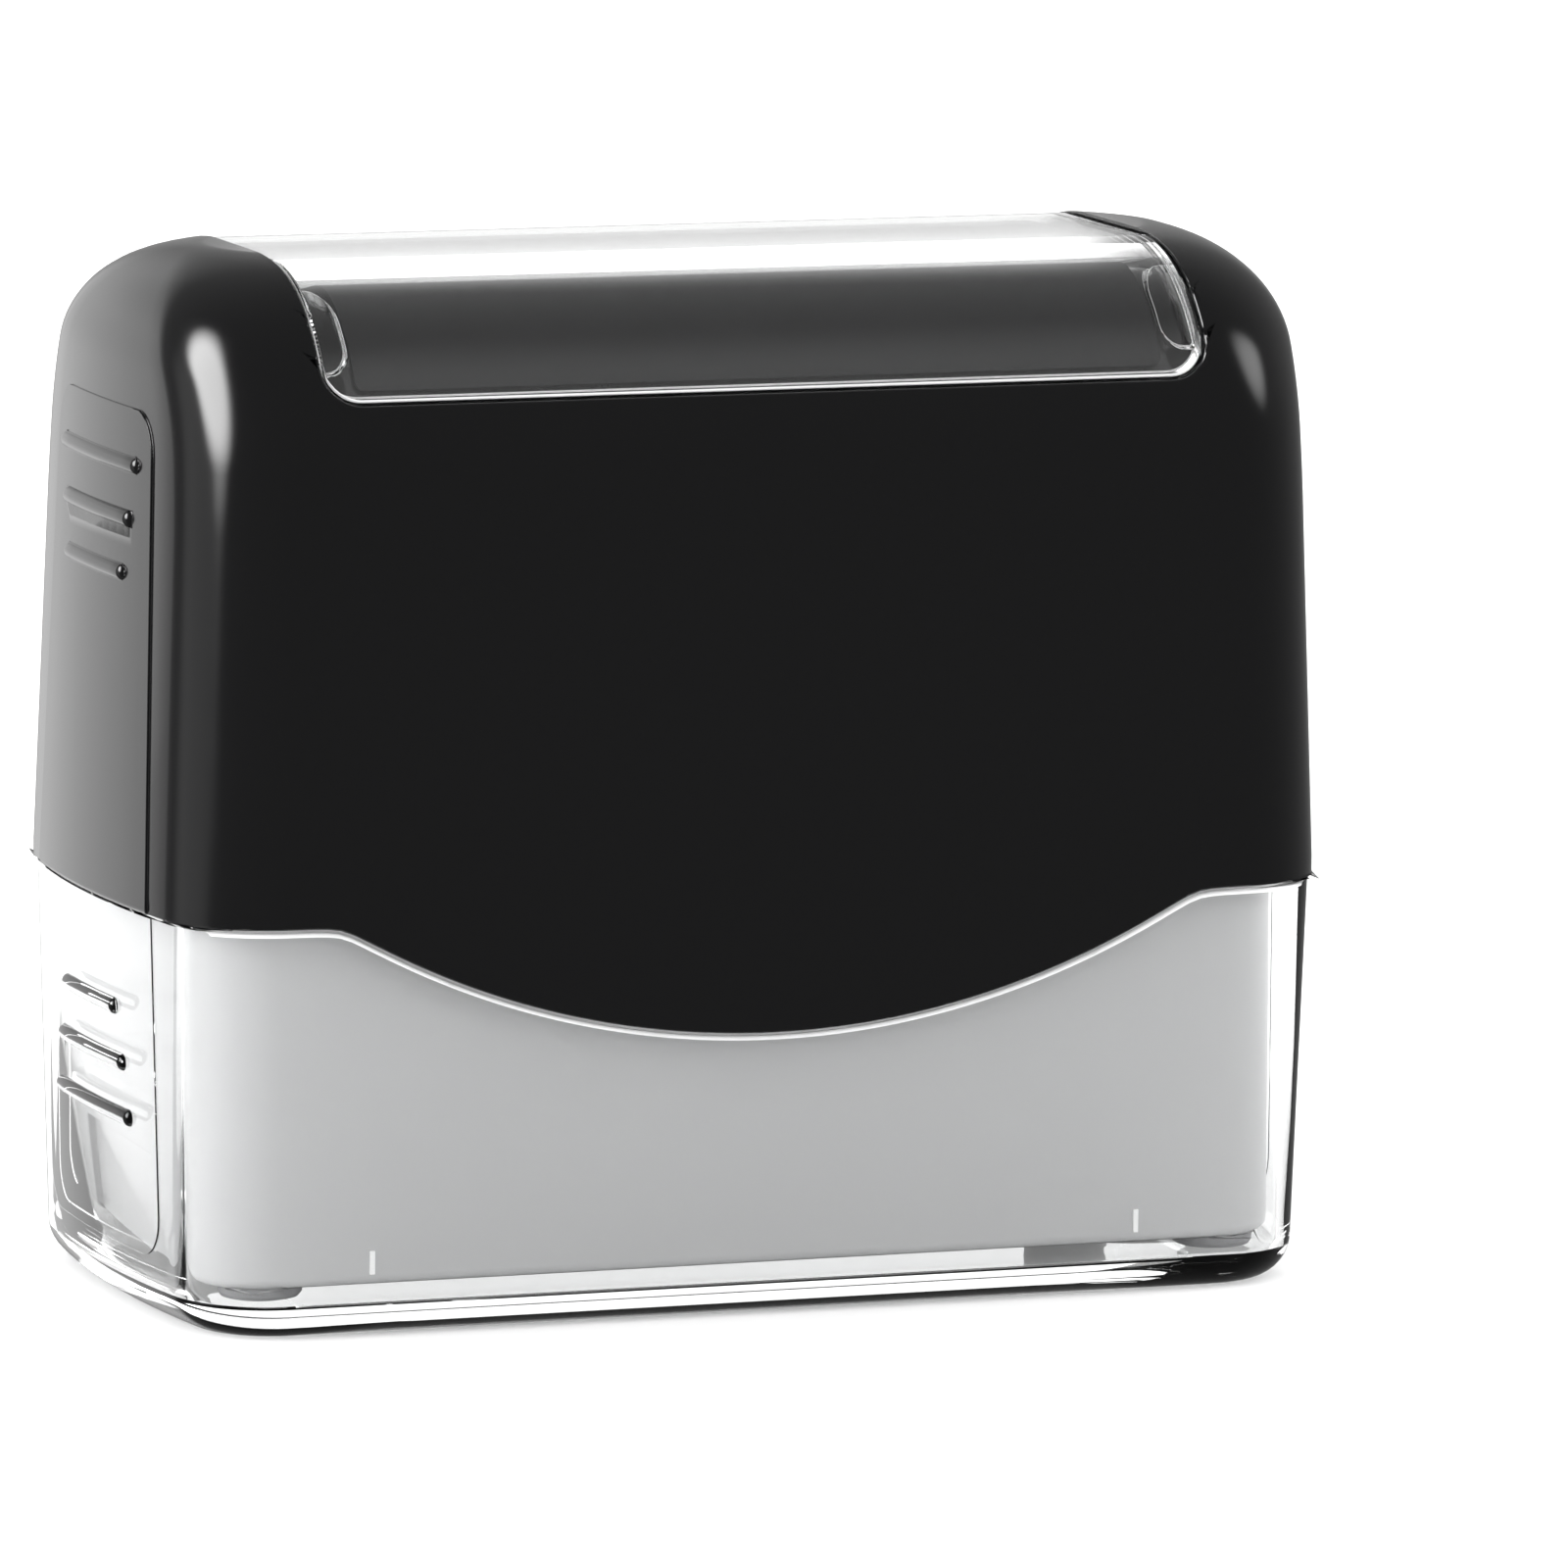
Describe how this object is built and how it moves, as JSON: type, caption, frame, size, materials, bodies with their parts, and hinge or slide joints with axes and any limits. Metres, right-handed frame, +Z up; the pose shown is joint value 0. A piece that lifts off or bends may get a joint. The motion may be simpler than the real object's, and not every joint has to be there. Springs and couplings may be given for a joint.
{
  "type": "self inking stamp",
  "caption": "Pre-inked desk stamp: black handle with clear index window, sprung skirt round a porous die, and a clear push-on dust cap.",
  "frame": {"origin": "centre of the underside of the dust cap, on the surface the stamp rests on", "axes": "+X along the long side of the imprint, +Y to the back, +Z up towards the index window"},
  "size_m": [0.0784, 0.0392, 0.0662],
  "materials": {
    "handle_black": "polished injection moulded ABS",
    "clear_window": "clear polystyrene, polished",
    "card_black": "plain black card",
    "plug_rubber": "silicone rubber",
    "screw_steel": "zinc plated",
    "cell_black": "satin moulded ABS",
    "reservoir_felt": "ink soaked wool felt",
    "spreader_felt": "dense ink soaked felt",
    "die_foam": "microporous foam, flash burned",
    "spring_steel": "bright spring wire",
    "skirt_silver": "satin silver grey ABS",
    "foot_rubber": "soft rubber",
    "clear_cap": "clear polystyrene, polished"
  },
  "bodies": {
    "cap": {"dust_cap": "clear_cap"},
    "handle": {"handle_shell": "handle_black", "index_card": "card_black", "ink_plug_left": "plug_rubber", "ink_plug_right": "plug_rubber", "shell_screws": "screw_steel", "ink_cell": "cell_black", "cell_lid": "cell_black", "lid_gasket": "plug_rubber", "ink_reservoir": "reservoir_felt", "spreader_felt": "spreader_felt", "stamp_die": "die_foam", "die_frame": "cell_black", "spring_front_left": "spring_steel", "spring_front_right": "spring_steel", "spring_back_left": "spring_steel", "spring_back_right": "spring_steel"},
    "skirt": {"skirt": "skirt_silver", "skirt_feet": "foot_rubber"},
    "window": {"index_window": "clear_window"}
  },
  "joints": [
    {"name": "cap_pull", "type": "slide", "parent": "cap", "child": "handle", "axis": [0, 0, 1], "range_m": [0, 0.03]},
    {"name": "skirt_press", "type": "slide", "parent": "handle", "child": "skirt", "axis": [0, 0, 1], "range_m": [0, 0.0042], "stiffness_N_per_m": 1500, "springref_m": -0.002, "deforming": ["spring_front_left", "spring_front_right", "spring_back_left", "spring_back_right"]},
    {"name": "window_lift", "type": "slide", "parent": "handle", "child": "window", "axis": [0, 0, 1], "range_m": [0, 0.012]}
  ]
}
